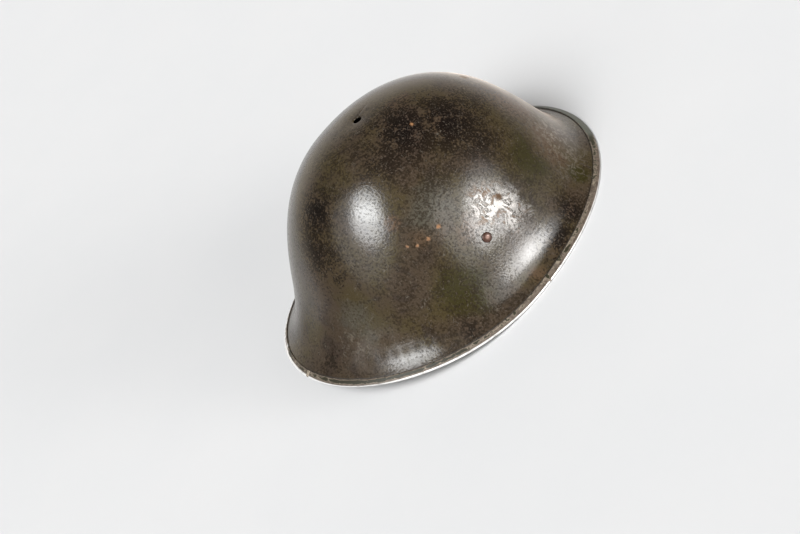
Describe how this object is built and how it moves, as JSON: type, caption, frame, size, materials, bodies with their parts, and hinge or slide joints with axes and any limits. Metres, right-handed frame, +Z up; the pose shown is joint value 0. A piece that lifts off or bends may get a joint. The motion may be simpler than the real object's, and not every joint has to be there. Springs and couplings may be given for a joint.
{
  "type": "steel combat helmet",
  "caption": "Deep domed steel helmet shell with a flared brim, a folded steel strip round the rim, a domed rivet at each side and an open hole at the crown.",
  "frame": {"origin": "middle of the rim's box, on the plane that the sides and the rear of the rim rest on", "axes": "+Z up through the crown, -Y to the front, +X to the wearer's left"},
  "size_m": [0.259, 0.3006, 0.1404],
  "materials": {
    "shell_paint": "old dark olive brown paint, worn and mottled, half gloss",
    "rim_steel": "folded steel strip with remains of paint, bare along the fold",
    "rivet_brown": "brown oxidised rivet head, rubbed smooth"
  },
  "bodies": {
    "root": {"shell": "shell_paint", "rim_strip": "rim_steel", "rivet_left": "rivet_brown", "rivet_right": "rivet_brown"}
  },
  "joints": []
}
